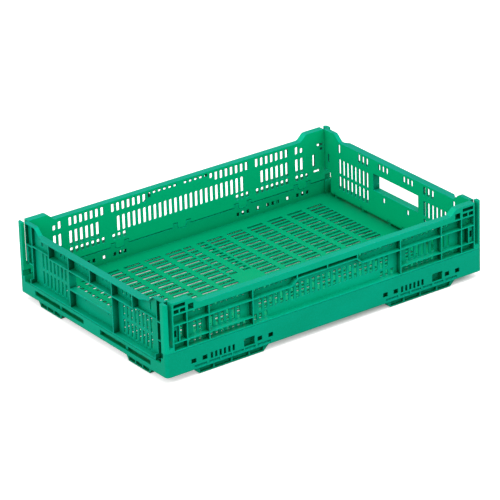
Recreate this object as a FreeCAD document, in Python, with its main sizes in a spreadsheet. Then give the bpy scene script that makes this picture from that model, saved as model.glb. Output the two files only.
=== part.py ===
import FreeCAD, Part
import math
import os
import re

# Collapsible storage crate, 600 x 400 mm stacking footprint, walls erected.
# Millimetres. +Z up, +X along the long side, origin at the centre of the
# footprint on the plane of the feet. Right is +X, rear is +Y. The long walls
# fold inwards about hinges along X near the top of the base rail, the end
# walls fold inwards about hinges along Y near the floor.
# The rear and right pieces are modelled; the front and left ones mirror them.

doc = FreeCAD.newDocument("collapsible_crate")
sheet = doc.addObject("Spreadsheet::Sheet", "Dims")

# alias, value, note
DIMS = [
    ("half_len", 300.0, "half of the overall length"),
    ("half_wid", 200.0, "half of the overall width"),
    ("foot_ht", 11.0, "height of the stacking feet below the rails"),
    ("floor_under", 14.3, "underside of the floor skin"),
    ("floor_top", 16.0, "top of the floor"),
    ("skin", 2.0, "moulded skin thickness"),
    ("rail_top", 49.0, "top of the outer lip of the long rails"),
    ("upstand_in", 188.2, "inner face of the long rail upstand"),
    ("upstand_top", 40.0, "top of the long rail upstand"),
    ("end_lip_top", 31.0, "top of the end rail lip"),
    ("end_lip_in", 296.2, "inner face of the end rail lip"),
    ("rim_top", 119.0, "top of the walls"),
    ("corner_top", 130.0, "top of the raised stacking corners"),
    ("long_hinge_y", 190.5, "long wall hinge axis, distance from the centre"),
    ("long_hinge_z", 43.5, "long wall hinge axis, height"),
    ("long_pin_rad", 1.25, "long wall hinge pin radius"),
    ("long_hole_rad", 1.30, "long wall hinge hole radius"),
    ("knuckle_pitch", 120.0, "spacing of the long wall knuckles"),
    ("knuckle_half", 8.0, "half width of a long wall knuckle"),
    ("long_in", 188.0, "inner face of the long walls"),
    ("long_skin_out", 190.2, "outer face of the long wall skin"),
    ("long_half", 286.3, "half length of the long wall panel"),
    ("long_bot", 41.3, "bottom edge of the long wall skin"),
    ("long_flange", 49.5, "underside of the long wall bottom flange"),
    ("post_in", 294.0, "inner face of the corner post"),
    ("post_join", 57.5, "top of the bridge joining post and panel"),
    ("end_hinge_x", 291.0, "end wall hinge axis, distance from the centre"),
    ("end_hinge_z", 23.0, "end wall hinge axis, height"),
    ("rod_rad", 2.5, "end wall hinge rod radius"),
    ("rod_hole", 2.55, "end wall hinge hole radius"),
    ("end_in", 286.45, "inner face of the end walls"),
    ("end_skin_out", 288.45, "outer face of the end wall skin"),
    ("end_out", 293.6, "outer face of the end wall ribs beside the corners"),
    ("end_flush", 299.4, "outer face of the end wall ribs away from the corners"),
    ("edge_round", 6.0, "rounding of the upright corner edges"),
    ("end_half", 187.85, "half width of the end walls"),
    ("bead_rad", 4.5, "radius of the end wall bottom bead"),
    ("rib", 2.0, "thickness of the upright ribs"),
    ("slot_w", 5.6, "width of the long wall slots"),
    ("slot_pitch", 10.0, "pitch of the long wall slots"),
    ("floor_pitch_x", 40.0, "pitch of the floor slot columns"),
    ("floor_pitch_y", 10.4, "pitch of the floor slot rows"),
    ("floor_slot_l", 30.0, "length of the floor slots"),
    ("floor_slot_w", 6.0, "width of the floor slots"),
    ("grip_half", 58.0, "half width of the hand hole"),
    ("grip_low", 65.0, "bottom of the hand hole"),
    ("grip_high", 94.0, "top of the hand hole"),
    ("latch_y", 184.4, "latch pivot, distance from the centre"),
    ("latch_z", 66.0, "latch pivot height"),
    ("latch_pin", 1.20, "latch pivot pin radius"),
    ("latch_hole", 1.25, "latch pivot hole radius"),
]
for row, (alias, value, note) in enumerate(DIMS, 1):
    sheet.set("A%d" % row, note)
    sheet.set("B%d" % row, str(value))
    sheet.setAlias("B%d" % row, alias)
doc.recompute()
ALIAS = re.compile(r"\b(" + "|".join(dim[0] for dim in DIMS) + r")\b")


# ---------------------------------------------------------------- expressions
# A size or position is a number, or text that names spreadsheet aliases.
def size(alias):
    """The present value of an alias, for the points of an outline."""
    return float(sheet.get(alias))


def is_number(value):
    return isinstance(value, (int, float))


def bind(obj, prop, text):
    obj.setExpression(prop, ALIAS.sub(r"Dims.\1", text))


def put(obj, prop, value):
    if is_number(value):
        setattr(obj, prop, value)
    else:
        bind(obj, prop, value)


def length(span):
    low, high = span
    if is_number(low) and is_number(high):
        return high - low
    return "(%s) - (%s)" % (high, low)


def at_side(side, value):
    """value for side 1, its negative for side -1."""
    if side > 0:
        return value
    return -value if is_number(value) else "-(%s)" % value


def on_side(side, span):
    """The span for side 1, its mirror image for side -1."""
    if side > 0:
        return span
    return (at_side(side, span[1]), at_side(side, span[0]))


def around(centre, half):
    return (centre - half, centre + half)


# --------------------------------------------------------------------- solids
SIDES = (-1, 1)
UPRIGHT = FreeCAD.Rotation()
ALONG_X = FreeCAD.Rotation(FreeCAD.Vector(0, 1, 0), 90)
ALONG_Y = FreeCAD.Rotation(FreeCAD.Vector(1, 0, 0), -90)

# plane: rotation of its sketch, direction of extrusion
PLANES = {
    "XY": (UPRIGHT, FreeCAD.Vector(0, 0, 1)),
    "XZ": (FreeCAD.Rotation(FreeCAD.Vector(1, 0, 0), 90), FreeCAD.Vector(0, 1, 0)),
    "YZ": (FreeCAD.Rotation(FreeCAD.Vector(1, 1, 1), 120), FreeCAD.Vector(1, 0, 0)),
}


def place(obj, position, rotation=UPRIGHT):
    base = [value if is_number(value) else 0.0 for value in position]
    obj.Placement = FreeCAD.Placement(FreeCAD.Vector(*base), rotation)
    for axis, value in zip("xyz", position):
        if not is_number(value):
            bind(obj, "Placement.Base." + axis, value)


def box(name, x, y, z):
    obj = doc.addObject("Part::Box", name)
    put(obj, "Length", length(x))
    put(obj, "Width", length(y))
    put(obj, "Height", length(z))
    place(obj, (x[0], y[0], z[0]))
    return obj


def side_boxes(side, rows, turned="x"):
    """Boxes from rows of name, x, y, z, with one axis taken to the given side."""
    made = []
    for name, x, y, z in rows:
        if turned == "x":
            x = on_side(side, x)
        else:
            y = on_side(side, y)
        made.append(box(name, x, y, z))
    return made


def rod(name, start, span, radius, rotation):
    obj = doc.addObject("Part::Cylinder", name)
    put(obj, "Radius", radius)
    put(obj, "Height", length(span))
    place(obj, start, rotation)
    return obj


def rod_x(name, x, y, z, radius):
    return rod(name, (x[0], y, z), x, radius, ALONG_X)


def rod_y(name, x, y, z, radius):
    return rod(name, (x, y[0], z), y, radius, ALONG_Y)


def rod_z(name, x, y, z, radius):
    return rod(name, (x, y, z[0]), z, radius, UPRIGHT)


def fuse(name, parts):
    obj = doc.addObject("Part::MultiFuse", name)
    obj.Shapes = parts
    obj.Refine = True
    return obj


def group(name, parts):
    obj = doc.addObject("Part::Compound", name)
    obj.Links = parts
    return obj


def cut(name, base, tools):
    tool = tools[0] if len(tools) == 1 else group("tools", tools)
    obj = doc.addObject("Part::Cut", name)
    obj.Base = base
    obj.Tool = tool
    obj.Refine = True
    return obj


def mirror(name, source, normal):
    obj = doc.addObject("Part::Mirroring", name)
    obj.Source = source
    obj.Normal = FreeCAD.Vector(*normal)
    obj.Base = FreeCAD.Vector(0, 0, 0)
    return obj


def to_front(name, source):
    return mirror(name, source, (0, 1, 0))


def to_left(name, source):
    return mirror(name, source, (1, 0, 0))


def slab(name, outlines, plane, low, high):
    """Closed outlines, holes included, extruded along the plane's normal axis."""
    rotation, direction = PLANES[plane]
    profile = doc.addObject("Sketcher::SketchObject", name + "_profile")
    lines = []
    for points in outlines:
        for start, end in zip(points, points[1:] + points[:1]):
            lines.append(Part.LineSegment(FreeCAD.Vector(*start, 0), FreeCAD.Vector(*end, 0)))
    profile.addGeometry(lines, False)
    place(profile, [low if part else 0.0 for part in direction], rotation)
    obj = doc.addObject("Part::Extrusion", name)
    obj.Base = profile
    obj.DirMode = "Custom"
    obj.Dir = direction
    put(obj, "LengthFwd", length((low, high)))
    obj.Solid = True
    obj.FaceMakerClass = "Part::FaceMakerBullseye"
    return obj


# ------------------------------------------------------------------- outlines
def rect(x0, x1, y0, y1):
    return [(x0, y0), (x1, y0), (x1, y1), (x0, y1)]


def window(centre, half, low, high):
    return rect(centre - half, centre + half, low, high)


def slot(centre, width, low, high, corner=1.2):
    """An upright slot with its corners cut, so that it reads as rounded."""
    x0, x1 = around(centre, width / 2)
    return [
        (x0 + corner, low), (x1 - corner, low), (x1, low + corner), (x1, high - corner),
        (x1 - corner, high), (x0 + corner, high), (x0, high - corner), (x0, low + corner),
    ]


def eased(points, radius=8.0, steps=4):
    """The open path with each inner corner turned into a short parabolic bend."""
    path = [points[0]]
    for before, corner, after in zip(points, points[1:], points[2:]):
        back = FreeCAD.Vector(before[0] - corner[0], before[1] - corner[1], 0).normalize()
        ahead = FreeCAD.Vector(after[0] - corner[0], after[1] - corner[1], 0).normalize()
        reach = radius * math.tan((math.pi - back.getAngle(ahead)) / 2)
        start = (corner[0] + back.x * reach, corner[1] + back.y * reach)
        end = (corner[0] + ahead.x * reach, corner[1] + ahead.y * reach)
        for k in range(steps + 1):
            t = k / steps
            weights = ((1 - t) ** 2, 2 * t * (1 - t), t * t)
            path.append(tuple(
                sum(weight * point[axis] for weight, point in zip(weights, (start, corner, end)))
                for axis in (0, 1)
            ))
    path.append(points[-1])
    return path


def wall_top(half, corner_foot, rim_end):
    """Top edge of a wall: the rim, sloping up to a raised corner at each end."""
    rim, top = size("rim_top"), size("corner_top")
    return eased([
        (-half, top), (-corner_foot, top), (-rim_end, rim),
        (rim_end, rim), (corner_foot, top), (half, top),
    ])


def ribbon(path):
    """A band one skin thick below the path."""
    return path + [(x, z - size("skin")) for x, z in reversed(path)]


def corner_shave(side, z):
    """What is planed off the upright outer edge of a rear corner."""
    centre = ("half_len - edge_round", "half_wid - edge_round")
    block = box(
        "corner_square",
        on_side(side, (centre[0], "half_len + 1")), (centre[1], "half_wid + 1"), z,
    )
    radius = rod_z("corner_radius", at_side(side, centre[0]), centre[1], z, "edge_round")
    return cut("corner_shave", block, [radius])


# --------------------------------------------------------------- hinge layout
KNUCKLES = [k * size("knuckle_pitch") for k in (-2, -1, 0, 1, 2)]
KNUCKLE_CHAMFER = 2.5
LUG_NEAR, LUG_FAR = 8.6, 17.0       # base lug either side of a knuckle, from its centre
LUG_RADIUS = 3.2
KNUCKLE_RADIUS = 2.9
END_LUGS = (19.0, 90.0, 161.0)      # centres of the base lugs that hold the rods
END_LUG_HALF = 3.0
END_GAP_HALF = 3.4                  # half width of the end wall's gap round a lug
END_BORE = (15.0, 165.0)            # y span of the rod bores


def rod_bores():
    return [
        rod_y("rod_bore", "end_hinge_x", on_side(side, END_BORE), "end_hinge_z", "rod_hole")
        for side in SIDES
    ]


# ---------------------------------------------------------------------- floor
FLOOR_ROWS = range(-15, 16)
SHORT_SLOT_X, SHORT_SLOT_L = 13.0, 14.0     # the pair of slots in the middle column
PLAIN_X, PLAIN_Y = 22.0, 25.0               # half size of the unslotted centre
BAR_HALF, FLOOR_RIB_HALF = 2.4, 1.25


def floor_slots():
    columns = [(k * size("floor_pitch_x"), size("floor_slot_l")) for k in range(-6, 7) if k]
    columns += [(side * SHORT_SLOT_X, SHORT_SLOT_L) for side in SIDES]
    half = size("floor_slot_w") / 2
    slots = []
    for row in FLOOR_ROWS:
        y = row * size("floor_pitch_y")
        for x, slot_length in columns:
            if abs(x) >= PLAIN_X or abs(y) >= PLAIN_Y:
                slots.append(window(x, slot_length / 2, y - half, y + half))
    return slots


def make_floor():
    outline = rect(-297.0, 297.0, -198.5, 198.5)
    parts = [slab("floor_plate", [outline] + floor_slots(), "XY", "floor_under", "floor_top")]
    top = "floor_under + 0.2"
    for row in FLOOR_ROWS[::2]:
        y = around(row * size("floor_pitch_y"), BAR_HALF)
        parts.append(box("floor_bar", (-284.0, 284.0), y, ("foot_ht + 0.3", top)))
    for k in range(-7, 7):
        x = around((k + 0.5) * size("floor_pitch_x"), FLOOR_RIB_HALF)
        parts.append(box("floor_rib", x, (-190.0, 190.0), ("foot_ht", top)))
    return fuse("floor", parts)


# ----------------------------------------------------------------- long rails
RAIL_MIDDLE = 180.0     # centre of each half's pattern of openings
# offset from the middle (the same way on both sides), half width, bottom, top
RAIL_OPENINGS = [(offset, 4.5, 21.8, 29.2) for offset in (-70.75, -50.5, 50.5, 70.75)]
RAIL_OPENINGS += [(-38.0 + 8.0 * k, 2.2, 20.2, 30.4) for k in range(6)]
RAIL_OPENINGS += [(31.0, 10.0, 19.6, 33.2)]
# x spans of the low row of openings
RAIL_LOW_ROW = (
    (110.0, 134.0), (138.0, 157.0), (160.0, 179.0),
    (182.0, 201.0), (204.0, 223.0), (227.0, 250.0),
)
RAIL_WEBS = (62.0, 98.0, 136.5, 190.0, 223.5, 262.0)
UPSTAND_HALF = 285.6
UPSTAND_HOLES = (110, 120, 130, 150, 170, 180, 190, 210, 230, 240, 250)
NOTCH_LOW = 36.2        # bottom of the upstand notches under the knuckles

X_INSIDE = "half_len - 0.5"
Y_INSIDE = "half_wid - 0.5"
END_SKIN = ("half_len - skin", "half_len")
# smooth corner block, closed on top: name, x, y, z
RAIL_CORNER = (
    ("corner_top", (257.0, X_INSIDE), (194.2, Y_INSIDE), ("rail_top - skin", "rail_top")),
    ("corner_step", (286.7, X_INSIDE), (191.4, 194.6), (38.8, "rail_top")),
    ("corner_ledge", (286.0, X_INSIDE), (186.0, 192.5), (38.8, "upstand_top")),
    ("corner_wall", (284.0, 286.0), (188.2, 199.0), ("foot_ht", "upstand_top - 1")),
    ("corner_end_high", END_SKIN, (191.4, "half_wid"), ("foot_ht", "rail_top")),
    ("corner_end_low", END_SKIN, (186.0, 192.0), ("foot_ht", "upstand_top")),
    ("corner_cheek", (286.0, X_INSIDE), (186.0, 188.0), ("foot_ht", "upstand_top")),
    ("corner_core", (292.0, X_INSIDE), (192.0, Y_INSIDE), ("foot_ht", "rail_top - 0.5")),
)


def rail_face():
    outline = rect(-size("half_len"), size("half_len"), size("foot_ht"), size("rail_top"))
    openings = []
    for side in SIDES:
        for offset, half, low, high in RAIL_OPENINGS:
            openings.append(window(side * RAIL_MIDDLE + offset, half, low, high))
        for span in RAIL_LOW_ROW:
            openings.append(rect(*on_side(side, span), 12.8, 17.6))
    return slab("rail_face", [outline] + openings, "XZ", "half_wid - skin", "half_wid")


def rail_upstand():
    """Inner upstand, its top edge notched round each hanging knuckle."""
    top, bevel = size("upstand_top"), KNUCKLE_CHAMFER
    half = size("knuckle_half") + 0.4
    outline = [(-UPSTAND_HALF, 14.0), (UPSTAND_HALF, 14.0), (UPSTAND_HALF, top)]
    for centre in reversed(KNUCKLES):
        left, right = around(centre, half)
        outline += [
            (right, top), (right, NOTCH_LOW + bevel), (right - bevel, NOTCH_LOW),
            (left + bevel, NOTCH_LOW), (left, NOTCH_LOW + bevel), (left, top),
        ]
    outline.append((-UPSTAND_HALF, top))
    holes = [window(side * x, 2.6, 24.4, 31.0) for x in UPSTAND_HOLES for side in SIDES]
    return slab("rail_upstand", [outline] + holes, "XZ", "upstand_in", "upstand_in + 2.1")


def make_long_rail():
    parts = [rail_face(), rail_upstand()]
    parts.append(box(
        "rail_under", (-299.0, 299.0), ("upstand_in", Y_INSIDE), ("foot_ht", "floor_under + 0.3"),
    ))
    for side in SIDES:
        for centre in RAIL_WEBS:
            x = around(side * centre, 0.9)
            y = ("upstand_in + 1", "half_wid - 1")
            parts.append(box("rail_web", x, y, ("foot_ht", 38.6)))
        parts += side_boxes(side, RAIL_CORNER)
    for centre in KNUCKLES:
        for side in SIDES:
            x = sorted((centre + side * LUG_NEAR, centre + side * LUG_FAR))
            y = ("upstand_in", "long_hinge_y + %s" % LUG_RADIUS)
            parts.append(box("lug", x, y, (35.0, "long_hinge_z")))
            parts.append(rod_x("lug_eye", x, "long_hinge_y", "long_hinge_z", LUG_RADIUS))
    raw = fuse("rail_raw", parts)
    trims = [box("lug_trim", (-300.0, 300.0), (180.0, "upstand_in"), (41.0, 60.0))]
    trims += long_hinge_rods("pin_hole", LUG_FAR + 0.5, "long_hole_rad")
    trims += [corner_shave(side, (10.0, 50.0)) for side in SIDES]
    return cut("rail_rear", raw, trims)


def long_hinge_rods(name, half, radius):
    """One cylinder on the long wall hinge axis at each knuckle."""
    return [
        rod_x(name, around(centre, half), "long_hinge_y", "long_hinge_z", radius)
        for centre in KNUCKLES
    ]


# ------------------------------------------------------------------ end rails
def make_end_rail():
    """Right rail: a lip with two long windows onto the hinge rods."""
    outlines = [rect(-186.5, 186.5, size("foot_ht"), size("end_lip_top"))]
    outlines += [rect(*on_side(side, (22.5, 157.5)), 18.0, 26.0) for side in SIDES]
    parts = [
        slab("end_lip", outlines, "YZ", "end_lip_in", "half_len"),
        box("end_under", (285.0, X_INSIDE), (-187.0, 187.0), ("foot_ht", "floor_top - 1")),
    ]
    for side in SIDES:
        for centre in END_LUGS:
            y = around(side * centre, END_LUG_HALF)
            x = (288.6, "end_lip_in + 0.5")
            parts.append(box("rod_lug", x, y, ("floor_top - 1", "end_hinge_z")))
            parts.append(rod_y("rod_eye", "end_hinge_x", y, "end_hinge_z", 4.3))
    return cut("end_rail_right", fuse("end_raw", parts), rod_bores())


# ----------------------------------------------------------------------- feet
FOOT_TOP = 12.0         # runs 1 mm up into the rail
# name, plane, half-span at top, span at bottom, depth across, cell spans
LONG_FOOT = (
    "foot_long", "XZ", (108.5, 251.5), (121.0, 239.0), (176.0, 196.5),
    ((122.0, 146.0), (149.0, 178.5), (181.5, 211.0), (214.0, 238.0)),
)
END_FOOT = (
    "foot_end", "YZ", (85.0, 157.0), (93.0, 149.0), (274.0, 296.5),
    ((94.5, 110.0), (113.0, 129.0), (132.0, 147.5)),
)


def make_foot(side, name, plane, top, bottom, depth, cells):
    """Tapered bar with cells in its outer side and hollows open below."""
    outline = [
        (side * top[0], FOOT_TOP), (side * top[1], FOOT_TOP),
        (side * bottom[1], 0.0), (side * bottom[0], 0.0),
    ]
    body = slab("foot", [outline], plane, *depth)
    inner, outer = depth
    tools = []
    for span in cells:
        along = on_side(side, span)
        for tool_name, across, z in (
            ("foot_cell", (outer - 4.5, outer + 1.5), (2.2, 9.6)),
            ("foot_hollow", (inner + 2.0, outer - 6.5), (-1.0, 8.0)),
        ):
            x, y = (along, across) if plane == "XZ" else (across, along)
            tools.append(box(tool_name, x, y, z))
    return cut(name, body, tools)


# ------------------------------------------------------------------ base tray
def make_base():
    floor = make_floor()
    rail_rear = make_long_rail()
    rail_front = to_front("rail_front", rail_rear)
    end_right = make_end_rail()
    end_left = to_left("end_rail_left", end_right)
    feet_rear = group("feet_rear", [make_foot(side, *LONG_FOOT) for side in (1, -1)])
    feet_front = to_front("feet_front", feet_rear)
    feet_right = group("feet_right", [make_foot(side, *END_FOOT) for side in (1, -1)])
    feet_left = to_left("feet_left", feet_right)
    return fuse("base_all", [
        floor, rail_rear, rail_front, end_right, end_left,
        feet_rear, feet_front, feet_right, feet_left,
    ])


# ------------------------------------------------------------------ long wall
LONG_TOP = wall_top(size("long_half"), corner_foot=250.5, rim_end=239.0)
LUG_CLEARANCE = 0.3
LONG_NOTCH = 47.6       # top of the notches round the base lugs
BAND_LOW = 109.0        # bottom of the outer band
TAIL_LOW = 36.8         # bottom of the tail below each knuckle

# places in slot pitches from the centre (on both sides), bottom, top, corner cut
LONG_SLOTS = (
    ([*range(1, 13), *range(16, 22), 23, 24], 65.5, 91.5, 1.2),     # middle row
    ([*range(7, 14), *range(15, 22)], 100.0, 115.0, 1.2),           # top row
    ([6], 105.5, 115.0, 1.2),
    ([23], 100.0, 113.0, 1.2),
    ([24], 100.0, 108.5, 1.2),
    ([*range(1, 6)], 110.5, 115.5, 1.0),
    ([11, 12, 13, *range(15, 22), 23, 24], 52.5, 62.5, 1.2),        # bottom row
    ([25], 54.0, 61.0, 1.2),
)
# see-through cells of the corner: centre, half width, bottom, top
CORNER_WINDOWS = (
    (277.5, 5.8, 102.6, 107.0), (280.2, 3.1, 94.6, 99.4), (270.0, 6.0, 58.2, 62.0),
)
# cells through the outer band: x span, bottom, top
BAND_CELLS = (
    ((262.4, 283.4), 120.6, 126.4), ((262.4, 272.0), 111.4, 117.8),
    ((274.4, 283.4), 111.4, 117.8), ((247.6, 257.6), 111.4, 121.2),
)
RIB_SLANT = ((66.5, 91.5), (66.5, 93.5), (57.0, 103.0), (55.0, 103.0), (55.0, 101.4))
# upright ribs: centre, z span
LONG_UPRIGHTS = (
    (57.0, (102.0, 110.0)), (140.0, (50.0, 110.0)), (220.0, (50.0, 110.0)),
    (260.0, (50.0, 129.0)), (285.3, (50.0, 129.0)),
)
LONG_RIB_Y = ("long_skin_out - 0.5", "half_wid")
LONG_DEPTH = ("long_in", "half_wid")
# name, x, y, z
LONG_LEVEL_RIBS = (
    ("rib_mid", (66.0, "long_half"), LONG_RIB_Y, (91.5, 93.5)),
    ("rib_low", (139.0, "long_half"), LONG_RIB_Y, (63.2, 65.0)),
)
# corner cells, then the corner post and the bridge that joins it to the panel
LONG_CORNER = (
    ("cell_bar", (246.0, "long_half"), LONG_RIB_Y, (109.2, 111.0)),
    ("cell_bar_high", (260.0, "long_half"), LONG_RIB_Y, (118.2, 120.0)),
    ("cell_back", (274.5, "long_half"), ("half_wid - 6", "half_wid - 4"), (64.0, 92.0)),
    ("cell_side", (273.2, 275.2), LONG_RIB_Y, (64.0, 92.0)),
    ("post", ("post_in", "half_len"), LONG_DEPTH, ("long_flange", "corner_top")),
    ("bridge", (285.0, "post_in + 1"), LONG_DEPTH, ("long_flange", "post_join")),
)


def long_skin():
    """Panel skin, its bottom edge notched round the base lugs."""
    half, bottom, width = size("long_half"), size("long_bot"), size("slot_w")
    near, far = LUG_NEAR - LUG_CLEARANCE, LUG_FAR + LUG_CLEARANCE
    outline = [(-half, bottom)]
    for centre in KNUCKLES:
        for x0, x1 in ((centre - far, centre - near), (centre + near, centre + far)):
            outline += [(x0, bottom), (x0, LONG_NOTCH), (x1, LONG_NOTCH), (x1, bottom)]
    outline += [(half, bottom)] + LONG_TOP[::-1]
    holes = [slot(0.0, width, 65.5, 91.5)]
    for side in SIDES:
        for places, low, high, corner in LONG_SLOTS:
            for k in places:
                holes.append(slot(side * k * size("slot_pitch"), width, low, high, corner))
        holes.append(slot(side * 264.7, 5.0, 68.0, 90.5))
        for centre, half_width, low, high in CORNER_WINDOWS:
            holes.append(window(side * centre, half_width, low, high))
    return slab("long_skin", [outline] + holes, "XZ", "long_in", "long_skin_out")


def long_rim():
    """A band hanging outside and a roof, both along the whole top edge."""
    half = size("long_half")
    outlines = [[(-half, BAND_LOW), (half, BAND_LOW)] + LONG_TOP[::-1]]
    for side in SIDES:
        for span, low, high in BAND_CELLS:
            outlines.append(rect(*on_side(side, span), low, high))
    return [
        slab("long_band", outlines, "XZ", "half_wid - skin", "half_wid"),
        slab("long_roof", [ribbon(LONG_TOP)], "XZ", *LONG_DEPTH),
    ]


def long_knuckle(centre):
    half, bevel = size("knuckle_half"), KNUCKLE_CHAMFER
    left, right = x = around(centre, half)
    tail = [
        (left, 44.0), (right, 44.0), (right, TAIL_LOW + bevel),
        (right - bevel, TAIL_LOW), (left + bevel, TAIL_LOW), (left, TAIL_LOW + bevel),
    ]
    neck_y = ("long_in + 0.2", "long_hinge_y + %s" % KNUCKLE_RADIUS)
    return [
        slab("tail", [tail], "XZ", "long_in + 0.2", "long_in + 2.9"),
        rod_x("knuckle", x, "long_hinge_y", "long_hinge_z", KNUCKLE_RADIUS),
        box("knuckle_neck", x, neck_y, ("long_hinge_z", 51.0)),
    ]


def make_long_wall():
    rib_half = size("rib") / 2
    parts = [long_skin()] + long_rim()
    parts.append(box(
        "long_flange_bar", ("-long_half", "long_half"), LONG_RIB_Y,
        ("long_flange", "long_flange + 2.5"),
    ))
    for side in SIDES:
        parts += side_boxes(side, LONG_LEVEL_RIBS)
        slant = [(side * x, z) for x, z in RIB_SLANT]
        parts.append(slab("rib_slant", [slant], "XZ", *LONG_RIB_Y))
        for centre, z in LONG_UPRIGHTS:
            parts.append(box("rib_up", around(side * centre, rib_half), LONG_RIB_Y, z))
        parts += side_boxes(side, LONG_CORNER)
    parts.append(box("rib_grip", (-56.0, 56.0), LONG_RIB_Y, (101.4, 103.2)))
    parts.append(box("rib_centre", around(0.0, rib_half), LONG_RIB_Y, (102.0, 110.0)))
    for centre in KNUCKLES:
        parts += long_knuckle(centre)
    raw = fuse("long_raw", parts)

    trims = [box("flat_trim", (-300.0, 300.0), (180.0, "long_in"), (30.0, 49.0))]
    trims += long_hinge_rods("pin_hole", size("knuckle_half") + 0.5, "long_hole_rad")
    for side in SIDES:
        # one square pocket beside the post
        pocket_x = on_side(side, (277.5, 283.4))
        trims.append(box("square_pocket", pocket_x, (192.5, 202.0), (72.0, 83.0)))
        trims.append(corner_shave(side, (49.0, 131.0)))
    return cut("long_wall_rear", raw, trims)


# ------------------------------------------------------------------- end wall
END_TOP = wall_top(size("end_half"), corner_foot=160.5, rim_end=148.0)
FOOT_HALF = 172.3       # half width of the wall below its side notches
NOTCH_TOP = 61.5
GAP_TOP = 28.2          # top of the gaps round the base lugs

END_COLUMNS = [74.0 + 10.4 * k for k in range(8)]
# centres (on both sides), width, bottom, top, corner cut
END_SLOTS = (
    (END_COLUMNS, 5.0, 35.5, 59.5, 1.2),
    (END_COLUMNS, 5.0, 63.5, 90.0, 1.2),
    (END_COLUMNS[:3] + [148.0], 5.0, 100.0, 115.0, 1.2),
    ([22.0, 32.0, 42.0], 5.0, 104.5, 115.0, 1.2),
    ([31.0], 5.0, 50.5, 59.5, 1.2),
    ([176.8], 3.4, 74.0, 90.0, 0.9),
)
END_RIB_X = ("end_skin_out - 0.5", "end_out")
END_DEEP_X = ("end_skin_out - 0.5", "end_flush")
# name, x, y, z
END_SIDE_RIBS = (
    ("rib_grip_side", END_DEEP_X, (57.9, 59.9), (32.0, 118.0)),
    ("rib_top", END_DEEP_X, (113.0, 115.0), (95.0, 118.0)),
    ("rib_edge", END_RIB_X, (168.6, 170.8), (32.0, 129.0)),
    ("rib_edge_foot", END_DEEP_X, (168.6, 170.8), (32.0, 40.4)),
    ("edge_bar", END_RIB_X, ("end_half - 2", "end_half"), (93.0, 129.0)),
    ("recess_web", END_RIB_X, (169.0, "end_half"), (92.0, 94.2)),
    ("recess_floor", END_RIB_X, (169.0, 180.5), (61.5, 63.5)),
)
# y spans where the bead is open on the outside and the rod shows
ROD_WINDOWS = (
    (22.4, 27.0), (39.0, 56.0), (68.0, 86.6), (93.4, 112.0), (124.0, 141.0), (153.0, 157.6),
)


def end_skin():
    """Panel skin with gaps round the base lugs, slots and the hand hole."""
    half, low = size("end_half"), size("end_hinge_z")
    outline = [(-half, NOTCH_TOP), (-FOOT_HALF, NOTCH_TOP), (-FOOT_HALF, low)]
    for centre in sorted(side * lug for side in SIDES for lug in END_LUGS):
        y0, y1 = around(centre, END_GAP_HALF)
        outline += [(y0, low), (y0, GAP_TOP), (y1, GAP_TOP), (y1, low)]
    outline += [(FOOT_HALF, low), (FOOT_HALF, NOTCH_TOP), (half, NOTCH_TOP)] + END_TOP[::-1]
    holes = [window(0.0, size("grip_half"), size("grip_low"), size("grip_high"))]
    for side in SIDES:
        for centres, width, bottom, top, corner in END_SLOTS:
            for centre in centres:
                holes.append(slot(side * centre, width, bottom, top, corner))
    return slab("end_skin", [outline] + holes, "YZ", "end_in", "end_skin_out")


def deep_shelf(name, inner, wide, narrow, low, high):
    """Level shelf that tapers out to the flush face away from the corners."""
    out, flush = size("end_out"), size("end_flush")
    outline = [
        (inner, -wide), (out, -wide), (flush, -narrow),
        (flush, narrow), (out, wide), (inner, wide),
    ]
    return slab(name, [outline], "XY", low, high)


def end_tools():
    """Lug clearances, rod bores and the windows onto the rods."""
    tools = []
    for side in SIDES:
        for centre in END_LUGS:
            y = around(side * centre, END_GAP_HALF)
            tools.append(rod_y("lug_gap", "end_hinge_x", y, "end_hinge_z", 5.2))
        for span in ROD_WINDOWS:
            y = on_side(side, span)
            tools.append(rod_y("rod_gap", "end_hinge_x", y, "end_hinge_z", 3.1))
            tools.append(box("rod_window", (288.2, 297.0), y, (17.0, 29.5)))
    return fuse("end_tools", tools + rod_bores())


def latch_rods(name, x, radius):
    """A cylinder on the latch pivot axis at each end of the right wall."""
    return [rod_x(name, x, at_side(side, "latch_y"), "latch_z", radius) for side in SIDES]


def make_end_wall():
    flange_y = ("-end_half + 16.5", "end_half - 16.5")
    foot_y = (-FOOT_HALF, FOOT_HALF)
    parts = [
        end_skin(),
        slab("end_roof", [ribbon(END_TOP)], "YZ", "end_in", "end_out"),
        deep_shelf("end_rim", 287.0, 143.0, 134.0, "rim_top - skin", "rim_top"),
        box("end_flange", END_RIB_X, flange_y, (94.0, 96.0)),
        deep_shelf("end_flange_deep", 288.2, 119.0, 112.0, 94.0, 96.0),
        box("end_foot_bar", END_DEEP_X, (-170.8, 170.8), (31.5, 33.5)),
        box("grip_sill", END_DEEP_X, (-59.0, 59.0), (62.8, 65.0)),
    ]
    for side in SIDES:
        parts += side_boxes(side, END_SIDE_RIBS, turned="y")
    parts.append(box("rib_centre", END_DEEP_X, around(0.0, size("rib") / 2), (95.0, 118.0)))
    # bottom bead that wraps the rods
    parts.append(rod_y("bead", "end_hinge_x", foot_y, "end_hinge_z", "bead_rad"))
    neck_x = ("end_in", "end_hinge_x + bead_rad")
    parts.append(box("bead_neck", neck_x, foot_y, ("end_hinge_z", 31.7)))
    body = cut("end_wall_cut", fuse("end_wall_raw", parts), [end_tools()])
    seats = latch_rods("latch_seat", ("end_in - 1", "end_in + 3"), "latch_pin + 0.02")
    return cut("end_wall_right", body, seats)


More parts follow.
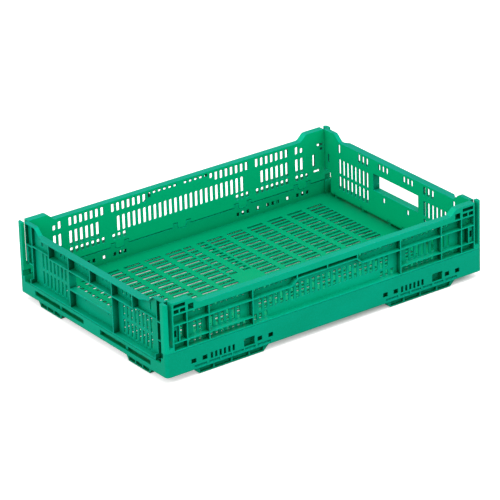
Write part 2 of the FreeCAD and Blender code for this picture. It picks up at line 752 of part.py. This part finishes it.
# -------------------------------------------------------------------- latches
# wavy tongue with a nose near its top: y, z from the pivot
LATCH_OUTLINE = (
    (-2.2, -1.0), (-1.2, -2.6), (1.2, -2.6), (2.2, -1.0),
    (2.0, 4.0), (1.2, 8.0), (1.2, 13.0), (2.6, 16.0),
    (2.6, 20.0), (1.0, 23.5), (-0.6, 24.0), (-1.4, 22.0),
    (-0.9, 16.0), (-2.0, 12.0), (-2.0, 8.0), (-1.0, 4.5),
)


def make_latch():
    outline = [(size("latch_y") + y, size("latch_z") + z) for y, z in LATCH_OUTLINE]
    body = slab("latch_body", [outline], "YZ", "end_skin_out + 0.4", "end_out - 0.4")
    bore_x = ("end_skin_out - 1", "end_skin_out + 11")
    bore = rod_x("latch_bore", bore_x, "latch_y", "latch_z", "latch_hole")
    return cut("latch_rear_right", body, [bore])


def make_latch_pins():
    pins = latch_rods("latch_pivot", ("end_in + 0.2", "end_out - 0.2"), "latch_pin")
    return group("latch_pins_right", pins)


# --------------------------------------------------------------- rods and pins
def make_hinge_rods():
    rods = []
    for side in SIDES:
        y = on_side(side, (15.8, 164.2))
        rods.append(rod_y("hinge_rod", "end_hinge_x", y, "end_hinge_z", "rod_rad"))
    return group("hinge_rods_right", rods)


def make_hinge_pins():
    return group("hinge_pins_rear", long_hinge_rods("hinge_pin", LUG_FAR - 0.2, "long_pin_rad"))


# ------------------------------------------------------------ pieces and export
base_tray = make_base()
long_rear = make_long_wall()
end_right = make_end_wall()
latch_rear_right = make_latch()
latch_front_right = to_front("latch_front_right", latch_rear_right)
latch_pins = make_latch_pins()
hinge_rods = make_hinge_rods()
hinge_pins = make_hinge_pins()

NODES = [
    ("base_tray", base_tray),
    ("long_wall_front", to_front("long_wall_front", long_rear)),
    ("long_wall_rear", long_rear),
    ("end_wall_left", to_left("end_wall_left", end_right)),
    ("end_wall_right", end_right),
    ("hinge_rods_left", to_left("hinge_rods_left", hinge_rods)),
    ("hinge_rods_right", hinge_rods),
    ("hinge_pins_front", to_front("hinge_pins_front", hinge_pins)),
    ("hinge_pins_rear", hinge_pins),
    ("latch_front_left", to_left("latch_front_left", latch_front_right)),
    ("latch_front_right", latch_front_right),
    ("latch_rear_left", to_left("latch_rear_left", latch_rear_right)),
    ("latch_rear_right", latch_rear_right),
    ("latch_pins_left", to_left("latch_pins_left", latch_pins)),
    ("latch_pins_right", latch_pins),
]
for name, obj in NODES:
    obj.Label = name
doc.recompute()

failed = [obj.Name for obj in doc.Objects if {"Invalid", "Error"} & set(obj.State)]
if failed:
    raise SystemExit("failed objects: %s" % failed)
for name, obj in NODES:
    if obj.Shape.isNull() or not obj.Shape.isValid():
        raise SystemExit("bad shape: %s" % name)

os.makedirs("parts", exist_ok=True)
for name, obj in NODES:
    obj.Shape.exportStep("parts/%s.step" % name)
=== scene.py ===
"""Folding plastic crate: green materials, pale stage, soft light and camera.

The crate stands on z = 0, centred on the origin. Its long walls run along X and
its end walls along Y. The pieces come from the CAD frame. Units are metres.
"""

import math

import bmesh
import bpy
import numpy as np
from mathutils import Matrix, Vector

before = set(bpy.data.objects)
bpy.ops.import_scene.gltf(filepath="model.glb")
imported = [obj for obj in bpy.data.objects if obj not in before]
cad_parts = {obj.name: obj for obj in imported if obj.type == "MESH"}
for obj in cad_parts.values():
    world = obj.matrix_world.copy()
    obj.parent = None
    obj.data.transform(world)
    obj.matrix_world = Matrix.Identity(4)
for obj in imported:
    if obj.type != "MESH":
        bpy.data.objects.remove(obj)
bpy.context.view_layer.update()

X, Y, Z = 0, 1, 2


# -------------------------------------------------------------- shader helpers
class Shader:
    """Adds nodes to one node tree. Inputs may be sockets or plain values."""

    def __init__(self, tree):
        self.tree = tree

    def feed(self, socket, value):
        if isinstance(value, bpy.types.NodeSocket):
            self.tree.links.new(value, socket)
        else:
            socket.default_value = value

    def node(self, kind, inputs=None, **settings):
        new = self.tree.nodes.new(kind)
        for key, value in settings.items():
            setattr(new, key, value)
        for key, value in (inputs or {}).items():
            self.feed(new.inputs[key], value)
        return new

    def noise(self, coord, scale, detail, roughness, stretch=None):
        texture = self.node("ShaderNodeTexNoise",
                            {"Scale": scale, "Detail": detail, "Roughness": roughness})
        if stretch:
            mapping = self.node("ShaderNodeMapping", {"Scale": stretch, "Vector": coord})
            coord = mapping.outputs["Vector"]
        self.feed(texture.inputs["Vector"], coord)
        return texture.outputs["Fac"]

    def ramp(self, value, *stops):
        """Grey ramp; each stop is (position, level)."""
        new = self.node("ShaderNodeValToRGB", {"Fac": value})
        elements = new.color_ramp.elements
        while len(elements) > 1:
            elements.remove(elements[-1])
        for i, (position, level) in enumerate(stops):
            element = elements.new(position) if i else elements[0]
            element.position = position
            element.color = (level, level, level, 1)
        return new.outputs["Color"]

    def mix(self, factor, first, second, mode="MIX"):
        new = self.node("ShaderNodeMix", {0: factor}, data_type="RGBA", blend_type=mode)
        for index, colour in ((6, first), (7, second)):
            if isinstance(colour, tuple):
                colour = (*colour, 1)
            self.feed(new.inputs[index], colour)
        return new.outputs[2]

    def math(self, operation, a, b=None, clamp=False):
        inputs = {0: a} if b is None else {0: a, 1: b}
        new = self.node("ShaderNodeMath", inputs, operation=operation, use_clamp=clamp)
        return new.outputs[0]

    def times(self, a, b, clamp=False):
        return self.math("MULTIPLY", a, b, clamp)

    def xyz(self, vector):
        return self.node("ShaderNodeSeparateXYZ", {0: vector}).outputs


def new_material(name):
    """Return a material, its Shader and the inputs of its Principled node."""
    material = bpy.data.materials.new(name)
    material.use_nodes = True
    material.node_tree.nodes.clear()
    s = Shader(material.node_tree)
    output = s.node("ShaderNodeOutputMaterial")
    principled = s.node("ShaderNodeBsdfPrincipled")
    s.feed(output.inputs[0], principled.outputs[0])
    return material, s, principled.inputs


# --------------------------------------------------------------------- plastic
BASE = (0.0, 0.375, 0.222)
DEEP = (0.0, 0.335, 0.186)
FLECK_AND_EDGE_HIGHLIGHT = (0.0, 0.60, 0.48)           # flecks, and the painted highlight on the edges
PAINTED_RECESS_SHADE = (0.0, 0.135, 0.038)         # painted shade for closed-in places
INWARD_BOUNCE_TINT = (0.0, 0.425, 0.176)        # painted bounce-light tint, greener, for faces that look into the crate
PAINTED_FLANK_SHADE = (0.0, 0.060, 0.024)           # painted shade on the narrow flanks of the ribs
PAINTED_UNDERFLOOR_SHADE = (0.0, 0.185, 0.075)          # painted shade on upward faces below the floor skin
RIM_TOP_PAINTED_SHADE = (0.4, 0.78, 0.88)     # painted shade, multiplies the rims' top faces
SPECULAR = 0.13
SPECULAR_TINT = (0.05, 1.0, 0.80, 1.0)
EDGE_RADIUS = 0.0011
CLOSED_IN_REACH = 0.022


def mottle(s, coord, base, deep, light):
    """Slow mottling from the melt flow, plus a fine fleck."""
    flow = s.noise(coord, scale=9.0, detail=4.0, roughness=0.6, stretch=(1.0, 1.0, 2.2))
    fleck = s.noise(coord, scale=420.0, detail=2.0, roughness=0.5)
    colour = s.mix(s.ramp(flow, (0.34, 0.0), (0.66, 1.0)), deep, base)
    return s.mix(s.ramp(fleck, (0.45, 0.0), (0.75, 0.16)), colour, light)


def paint_inward_bounce_tint(s, colour, coords, axes, inward_bounce_tint):
    """Paint a greener bounce-light tint on the faces that look towards the crate's middle, or
    up, and paint shade on upward faces below the floor skin.
    """
    normal = s.xyz(coords["Normal"])
    place = s.xyz(coords["Object"])
    inward = underfloor_shade = None
    for axis in axes:
        if axis == Z:
            facing = normal[Z]
            # painted shade below the floor skin, fading out between z = 15 and 15.3 mm
            underfloor_shade = s.ramp(s.times(place[Z], 40.0), (0.600, 1.0), (0.612, 0.0))
            underfloor_shade = s.times(underfloor_shade, facing, clamp=True)
        else:
            outward = s.times(normal[axis], s.math("SIGN", place[axis]))
            facing = s.times(outward, -1.0)
        inward = facing if inward is None else s.math("MAXIMUM", inward, facing)
    # painted bounce-light tint, greener, on the faces that look into the crate
    colour = s.mix(s.ramp(inward, (0.25, 0.0), (0.75, 0.85)), colour, inward_bounce_tint)
    # painted shade on the upward faces below the floor skin
    return colour if underfloor_shade is None else s.mix(underfloor_shade, colour, PAINTED_UNDERFLOOR_SHADE)


def paint_closed_in_shade(s, colour, coords, true_normal, openness, painted_shade, flank_axis, flank_shade, slot_wall_shade):
    """Paint shade into closed-in places, then paint shade on the flanks that face along
    flank_axis.
    """
    # painted shade where the ambient occlusion finds the place closed in
    shut = s.ramp(openness, (0.12, 1.0), (0.40, 0.62), (0.70, 0.08), (0.86, 0.0))
    if slot_wall_shade:
        # painted shade is left off beyond |x| = 284 to 286 mm, on the corner posts and the
        # slots beside them, so they stay light
        place = s.xyz(coords["Object"])
        between_posts = s.ramp(s.times(s.math("ABSOLUTE", place[X]), 3.0),
                               (0.852, 1.0), (0.857, 0.0))
        shut = s.times(shut, between_posts)
    colour = s.mix(shut, colour, painted_shade)
    if flank_axis is None:
        return colour

    # painted shade on the flanks that face along flank_axis
    flank = s.math("ABSOLUTE", s.xyz(true_normal)[flank_axis])
    flank = s.ramp(flank, (0.80, 0.0), (0.97, 1.0))
    flank = s.times(flank, s.ramp(openness, (0.55, 0.95), (0.92, 0.0)), clamp=True)
    if slot_wall_shade:
        flank = s.times(flank, between_posts)
        # the ribs stand outside the skin, beyond |y| = 190 to 192 mm, and their flanks take
        # the darker painted shade; the slot walls within the skin take the lighter one
        distance = s.times(s.math("ABSOLUTE", place[Y]), 5.0)
        flank_shade = s.mix(s.ramp(distance, (0.951, 0.0), (0.958, 1.0)), slot_wall_shade, flank_shade)
    return s.mix(flank, colour, flank_shade)


def painted_edge_highlights(s, coord, rounded_normal, normal, openness):
    """Mask of the painted edge highlights: where the rounded normal leaves the face normal."""
    dot = s.node("ShaderNodeVectorMath", {0: rounded_normal, 1: normal},
                 operation="DOT_PRODUCT")
    edge = s.math("SUBTRACT", 1.0, dot.outputs["Value"], clamp=True)
    edge = s.times(edge, 5.0, clamp=True)
    highlight_breakup = s.noise(coord, scale=60.0, detail=3.0, roughness=0.7)
    edge = s.times(edge, s.ramp(highlight_breakup, (0.38, 0.35), (0.60, 1.0)), clamp=True)
    return s.times(edge, s.ramp(openness, (0.35, 0.1), (0.75, 1.0)), clamp=True)


def paint_shade_on_rim_tops(s, colour, coords):
    """Paint shade on the upward faces above z = 112 to 117 mm, the rims' tops."""
    normal = s.xyz(coords["Normal"])
    place = s.xyz(coords["Object"])
    rim = s.ramp(s.times(place[Z], 5.0), (0.56, 0.0), (0.585, 1.0))
    rim = s.times(rim, s.ramp(normal[Z], (0.80, 0.0), (0.95, 1.0)), clamp=True)
    # painted shade on the rims' top faces
    return s.mix(rim, colour, RIM_TOP_PAINTED_SHADE, "MULTIPLY")


def satin(s, coord, edge, roughness):
    """Satin roughness with duller scuffs in streaks and on the edges that carry the painted
    highlight.
    """
    patches = s.noise(coord, scale=34.0, detail=5.0, roughness=0.65)
    streaks = s.noise(coord, scale=26.0, detail=6.0, roughness=0.7, stretch=(1.0, 1.0, 14.0))
    scuffs = s.node("ShaderNodeMapRange", {
        "Value": s.mix(0.45, patches, streaks),
        "From Min": 0.3,
        "From Max": 0.7,
        "To Min": roughness - 0.09,
        "To Max": roughness + 0.12,
    })
    return s.math("ADD", scuffs.outputs[0], s.times(edge, 0.12), clamp=True)


def mould_grain(s, coord, normal):
    """Bump: spark-eroded mould grain, then a slight sink waviness."""
    grain = s.noise(coord, scale=1300.0, detail=2.0, roughness=0.5)
    waves = s.noise(coord, scale=45.0, detail=2.0, roughness=0.4)
    for height, distance in ((grain, 0.0003), (waves, 0.0012)):
        bump = s.node("ShaderNodeBump", {"Strength": 0.10, "Distance": distance,
                                         "Height": height, "Normal": normal})
        normal = bump.outputs["Normal"]
    return normal


def plastic(name, roughness, seed, base=BASE, deep=DEEP, light=FLECK_AND_EDGE_HIGHLIGHT, painted_shade=PAINTED_RECESS_SHADE,
            inward_axes=(), inward_bounce_tint=INWARD_BOUNCE_TINT, flank_axis=None, flank_shade=PAINTED_FLANK_SHADE, slot_wall_shade=None):
    """Moulded polypropylene.

    seed shifts the noise. inward_axes are those along which faces look into the
    crate and get the painted bounce-light tint. slot_wall_shade is the lighter painted shade
    on the slot walls, and is given for the long walls only.
    """
    material, s, surface = new_material(name)
    coords = s.node("ShaderNodeTexCoord").outputs
    shifted = s.node("ShaderNodeMapping", {"Location": (seed, seed * 0.7, -seed),
                                           "Vector": coords["Object"]})
    coord = shifted.outputs["Vector"]

    colour = mottle(s, coord, base, deep, light)
    if inward_axes:
        colour = paint_inward_bounce_tint(s, colour, coords, inward_axes, inward_bounce_tint)
    geometry = s.node("ShaderNodeNewGeometry").outputs
    occlusion = s.node("ShaderNodeAmbientOcclusion", {"Distance": CLOSED_IN_REACH}, samples=6)
    openness = occlusion.outputs["AO"]
    colour = paint_closed_in_shade(s, colour, coords, geometry["True Normal"], openness,
                           painted_shade, flank_axis, flank_shade, slot_wall_shade)
    bevel = s.node("ShaderNodeBevel", {"Radius": EDGE_RADIUS}, samples=4)
    rounded = bevel.outputs["Normal"]
    edge = painted_edge_highlights(s, coord, rounded, geometry["Normal"], openness)
    # painted highlight on the edges
    colour = s.mix(edge, colour, light)

    s.feed(surface["Base Color"], paint_shade_on_rim_tops(s, colour, coords))
    s.feed(surface["Roughness"], satin(s, coord, edge, roughness))
    s.feed(surface["Normal"], mould_grain(s, coord, rounded))
    surface["Specular IOR Level"].default_value = SPECULAR
    surface["Specular Tint"].default_value = SPECULAR_TINT
    return material


tray = plastic("crate_plastic_tray", roughness=0.42, seed=0.0,
               inward_axes=(X, Y, Z), inward_bounce_tint=(0.0, 0.350, 0.146))
walls = plastic("crate_plastic_walls", roughness=0.40, seed=3.7,
                base=(0.0, 0.425, 0.240), deep=(0.0, 0.380, 0.200), painted_shade=(0.0, 0.215, 0.080),
                inward_axes=(Y,), flank_axis=X,
                flank_shade=(0.0, 0.070, 0.028), slot_wall_shade=(0.0, 0.240, 0.105))
ends = plastic("crate_plastic_ends", roughness=0.40, seed=8.1,
               inward_axes=(X,), flank_axis=Y)
latch = plastic("latch_plastic", roughness=0.38, seed=5.2,
                base=(0.0, 0.43, 0.27), deep=(0.0, 0.39, 0.23))
rod = plastic("rod_plastic", roughness=0.34, seed=1.9,
              base=(0.0, 0.40, 0.23), deep=(0.0, 0.35, 0.19), light=(0.0, 0.55, 0.40))

PANELS = {
    "base_tray": tray,
    "long_wall_front": walls,
    "long_wall_rear": walls,
    "end_wall_left": ends,
    "end_wall_right": ends,
}
for name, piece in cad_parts.items():
    is_latch = name.startswith("latch_") and "pins" not in name
    piece.data.materials.clear()
    piece.data.materials.append(PANELS.get(name, latch if is_latch else rod))


# ----------------------------------------------------------------------- stage
FLOOR_HALF = 60.0
FLOOR_Z = -0.0005
PAINTED_SHADOW_HALF = ((X, 0.285), (Y, 0.185))  # half sizes of the painted shadow patch
FLOOR_GLOW = 0.45
PAPER = (0.86, 0.86, 0.86)              # what the camera sees
PAPER_BOUNCE = (0.34, 0.34, 0.34)       # what lights the crate from below
PAPER_PAINTED_SHADOW = (0.30, 0.80, 0.58)        # painted shadow colour under the crate, greened as if by light bounced from the crate above


def paper():
    """Paper that glows evenly for the camera only; under the crate it carries a painted
    shadow, with less glow and a green tint.
    """
    material, s, surface = new_material("stage_pale")
    surface["Roughness"].default_value = 0.9
    surface["Specular IOR Level"].default_value = 0.1
    surface["Emission Color"].default_value = (1, 1, 1, 1)
    camera_ray = s.node("ShaderNodeLightPath").outputs["Is Camera Ray"]
    place = s.xyz(s.node("ShaderNodeNewGeometry").outputs["Position"])

    under = None
    for axis, half in PAINTED_SHADOW_HALF:
        # 0.5 at the patch's edge, fading over 10 mm on each side of it
        within = s.math("SUBTRACT", half + 0.5, s.math("ABSOLUTE", place[axis]))
        within = s.ramp(within, (0.490, 0.0), (0.510, 1.0))
        under = within if under is None else s.times(under, within)
    # the painted shadow deepens towards +X
    along = s.math("ADD", place[X], 0.5, clamp=True)
    painted_shadow_depth = s.ramp(along, (0.30, 0.0), (0.42, 0.45), (0.55, 0.85), (0.75, 1.0))

    glow = s.math("SUBTRACT", 1.0, s.times(under, painted_shadow_depth), clamp=True)
    glow = s.times(glow, FLOOR_GLOW)
    s.feed(surface["Emission Strength"], s.times(camera_ray, glow))
    # painted shadow colour on the paper under the crate
    seen = s.mix(s.times(under, painted_shadow_depth), PAPER, PAPER_PAINTED_SHADOW)
    s.feed(surface["Base Color"], s.mix(camera_ray, PAPER_BOUNCE, seen))
    return material


def floor():
    mesh = bpy.data.meshes.new("stage_floor")
    bm = bmesh.new()
    corners = ((-1, -1), (1, -1), (1, 1), (-1, 1))
    bm.faces.new([bm.verts.new((x * FLOOR_HALF, y * FLOOR_HALF, FLOOR_Z)) for x, y in corners])
    bm.to_mesh(mesh)
    bm.free()
    sheet = bpy.data.objects.new("stage_floor", mesh)
    bpy.context.scene.collection.objects.link(sheet)
    mesh.materials.append(paper())


floor()
scene = bpy.context.scene

# ----------------------------------------------------------------------- light
TENT_STRENGTH = 1.20
TENT_GLOSSY_DROP = 1.02     # taken off where the tent would mirror in the plastic
LIGHT_TARGET = Vector((0, 0, 0.05))


def soft_world():
    """A big soft tent of white light."""
    world = bpy.data.worlds.new("soft_world")
    world.use_nodes = True
    s = Shader(world.node_tree)
    background = world.node_tree.nodes["Background"].inputs
    background[0].default_value = (1.0, 1.0, 1.0, 1)
    glossy_ray = s.node("ShaderNodeLightPath").outputs["Is Glossy Ray"]
    drop = s.times(glossy_ray, TENT_GLOSSY_DROP)
    s.feed(background[1], s.math("SUBTRACT", TENT_STRENGTH, drop))
    scene.world = world


def area_light(name, location, size, power):
    data = bpy.data.lights.new(name, "AREA")
    data.shape = "RECTANGLE"
    data.size, data.size_y = size
    data.energy = power
    lamp = bpy.data.objects.new(name, data)
    lamp.location = location
    direction = LIGHT_TARGET - Vector(location)
    lamp.rotation_euler = direction.to_track_quat("-Z", "Y").to_euler()
    scene.collection.objects.link(lamp)


soft_world()
area_light("key", location=(0.2, -1.5, 3.3), size=(1.6, 1.6), power=30.0)
area_light("fill", location=(-2.8, -0.9, 1.7), size=(1.4, 1.0), power=24.0)
scene.view_settings.view_transform = "Standard"
scene.view_settings.look = "None"

# ---------------------------------------------------------------------- camera
VIEW_X, VIEW_Y, VIEW_Z = 2.0191239, 0.0483118, 0.6901065    # radians
# The point aimed at, in view axes: x right, y down, z ahead
VIEW_OFFSET = np.array([-0.11076618, -0.061383, 5.61165198])
EYE_LIFT = np.array([0, 0, 0.011])
# Direction in the camera's own axes that is turned to the middle of the frame
AIM = (-0.0202129047, 0.0193636230, -1.0)
SENSOR_WIDTH = 36.0         # mm
FOCAL_LENGTH = 258.5714458  # mm


def rotation(axis, angle):
    turn = np.eye(3)
    i, j = (axis + 1) % 3, (axis + 2) % 3
    turn[i, i] = turn[j, j] = math.cos(angle)
    turn[i, j] = -math.sin(angle)
    turn[j, i] = math.sin(angle)
    return turn


def camera():
    view = rotation(Y, VIEW_Y) @ rotation(X, VIEW_X) @ rotation(Z, VIEW_Z)
    # Blender cameras have y up and look along -z
    axes = view.T @ np.diag([1.0, -1.0, -1.0])
    pose = Matrix(axes.tolist()).to_4x4()
    pose.translation = (-view.T @ VIEW_OFFSET + EYE_LIFT).tolist()
    aim = Vector(AIM).normalized()
    turn = Vector((0.0, 0.0, -1.0)).rotation_difference(aim)

    data = bpy.data.cameras.new("camera")
    data.sensor_fit = "HORIZONTAL"
    data.sensor_width = SENSOR_WIDTH
    data.lens = FOCAL_LENGTH
    data.clip_start = 0.05
    data.clip_end = 200.0
    cam = bpy.data.objects.new("camera", data)
    cam.matrix_world = pose @ turn.to_matrix().to_4x4()
    scene.collection.objects.link(cam)
    scene.camera = cam


camera()
